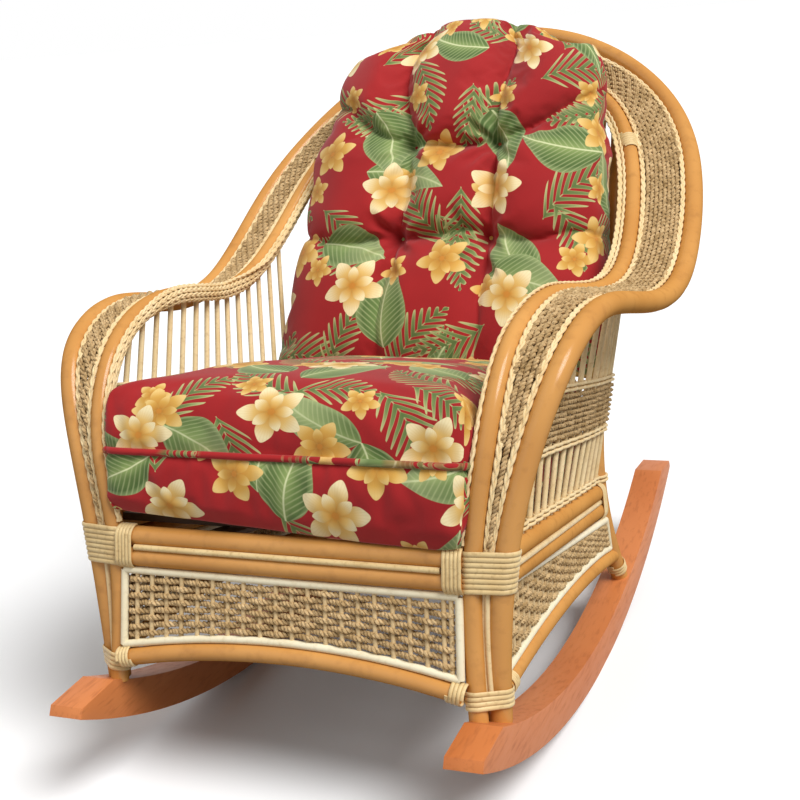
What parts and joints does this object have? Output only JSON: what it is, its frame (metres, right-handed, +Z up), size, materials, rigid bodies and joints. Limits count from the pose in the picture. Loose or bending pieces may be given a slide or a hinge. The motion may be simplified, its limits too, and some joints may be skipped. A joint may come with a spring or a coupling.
{
  "type": "rocking chair",
  "caption": "Rattan rocking chair with bent-pole arms and a hooped back, woven bands and apron panels, loose seat and tufted back cushions, and curved wooden rockers.",
  "frame": {"origin": "on the floor, at the bottom centre of the bounding box of the chair at rest", "axes": "+Z up, the front of the chair faces -Y, +X to the right of someone who looks at its front"},
  "size_m": [0.8142, 1.1714, 0.9535],
  "materials": {
    "rattan_pole": "clear honey varnish",
    "rocker_wood": "stained, satin varnish",
    "reed": "natural, satin",
    "peel": "natural, satin",
    "wicker": "natural, matt",
    "seagrass": "woven rope, matt",
    "printed_fabric": "printed cotton, matt",
    "dowel": "plain"
  },
  "bodies": {
    "root": {"rocker_left": "rocker_wood", "rocker_right": "rocker_wood", "outer_pole_left": "rattan_pole", "outer_pole_right": "rattan_pole", "inner_pole_left": "rattan_pole", "inner_pole_right": "rattan_pole", "inner_hoop": "rattan_pole", "rear_leg_left": "rattan_pole", "rear_leg_right": "rattan_pole", "front_dowel_left": "dowel", "front_dowel_right": "dowel", "rear_dowel_left": "dowel", "rear_dowel_right": "dowel", "front_rail_upper": "rattan_pole", "front_rail_lower": "rattan_pole", "back_rail_upper": "rattan_pole", "back_rail_lower": "rattan_pole", "side_rail_upper_left": "rattan_pole", "side_rail_upper_right": "rattan_pole", "side_rail_lower_left": "rattan_pole", "side_rail_lower_right": "rattan_pole", "front_rail_strip": "reed", "side_rail_strip_left": "reed", "side_rail_strip_right": "reed", "front_arch_rail": "rattan_pole", "back_arch_rail": "rattan_pole", "side_arch_rail_left": "rattan_pole", "side_arch_rail_right": "rattan_pole", "front_apron_frame": "reed", "back_apron_frame": "reed", "side_apron_left_frame": "reed", "side_apron_right_frame": "reed", "front_apron_weave": "seagrass", "back_apron_weave": "seagrass", "side_apron_left_weave": "seagrass", "side_apron_right_weave": "seagrass", "side_wicker_left": "wicker", "side_wicker_right": "wicker", "back_wicker": "wicker", "arm_band_left": "seagrass", "arm_band_right": "seagrass", "back_band": "seagrass", "seat_deck": "rattan_pole", "seat_binding_left": "peel", "seat_binding_right": "peel", "foot_binding_left": "peel", "foot_binding_right": "peel", "rail_binding_left": "peel", "rail_binding_right": "peel", "rear_foot_binding_left": "peel", "rear_foot_binding_right": "peel", "seat_cushion": "printed_fabric", "back_cushion": "printed_fabric", "tuft_button_lower_left": "printed_fabric", "tuft_button_lower_right": "printed_fabric", "tuft_button_upper_left": "printed_fabric", "tuft_button_upper_right": "printed_fabric"}
  },
  "joints": []
}
